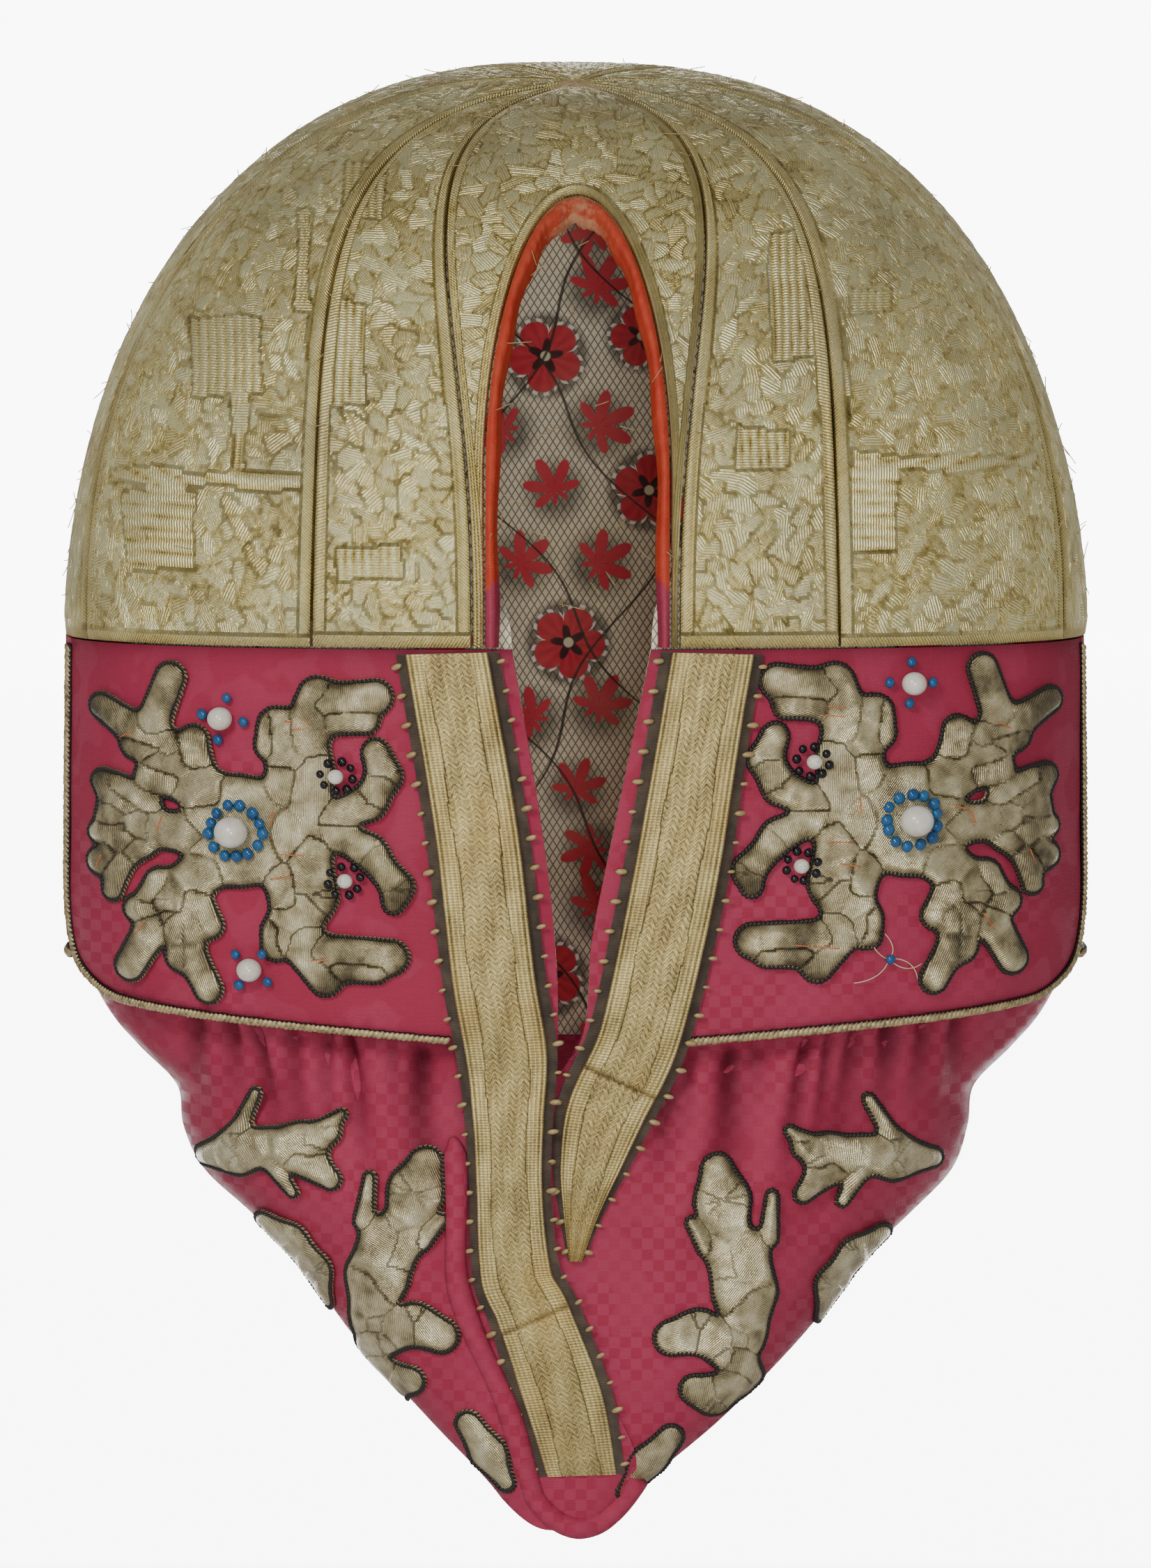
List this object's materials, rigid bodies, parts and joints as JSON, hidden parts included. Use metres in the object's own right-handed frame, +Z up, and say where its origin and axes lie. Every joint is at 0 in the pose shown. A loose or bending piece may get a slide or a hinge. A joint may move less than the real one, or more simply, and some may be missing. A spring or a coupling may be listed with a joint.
{
  "type": "headdress",
  "caption": "Domed kokoshnik headdress with a gold-embroidered crown, silk back panels under padded gold palmettes, a long back slit with galloons, and gathered flaps to a nape point.",
  "frame": {"origin": "where the top of the wearer's head touches, under the point where the crown's seams meet", "axes": "+Z up as worn, +Y towards the forehead, so the slit up the back faces -Y; +X to the right in the view from behind"},
  "size_m": [0.2032, 0.1438, 0.2841],
  "materials": {
    "silk": "woven satin damask",
    "gold_embroidery": "couched metal thread",
    "gold_lame": "padded metal satin",
    "printed_cotton": "plain weave, printed",
    "red_binding": "ribbed ribbon",
    "dark_ribbon": "woven ribbon with a looped edge",
    "metal_cord": "twisted metal thread",
    "pearl": "nacreous"
  },
  "bodies": {
    "root": {"gore_back": "gold_embroidery", "gore_front": "gold_embroidery", "gore_back_side_left": "gold_embroidery", "gore_side_left": "gold_embroidery", "gore_front_side_left": "gold_embroidery", "galloon_left": "gold_embroidery", "panel_left": "silk", "flap_left": "silk", "cord_left": "metal_cord", "ribbon_left": "dark_ribbon", "palmette_left": "gold_lame", "spray_left": "gold_lame", "tulip_left": "gold_lame", "tongue_left": "gold_lame", "side_leaf_left": "gold_lame", "large_pearl_left": "pearl", "upper_pearl_left": "pearl", "upper_eye_pearl_left": "pearl", "lower_eye_pearl_left": "pearl", "gore_back_side_right": "gold_embroidery", "gore_side_right": "gold_embroidery", "gore_front_side_right": "gold_embroidery", "galloon_right": "gold_embroidery", "panel_right": "silk", "flap_right": "silk", "cord_right": "metal_cord", "ribbon_right": "dark_ribbon", "palmette_right": "gold_lame", "spray_right": "gold_lame", "tulip_right": "gold_lame", "tongue_right": "gold_lame", "side_leaf_right": "gold_lame", "large_pearl_right": "pearl", "upper_pearl_right": "pearl", "upper_eye_pearl_right": "pearl", "lower_eye_pearl_right": "pearl", "lower_pearl_left": "pearl", "cord_front": "metal_cord", "slit_binding": "red_binding", "lining_crown": "printed_cotton", "lining_body": "printed_cotton", "band_front": "silk", "skirt_front": "silk", "rolled_edge": "silk"}
  },
  "joints": []
}
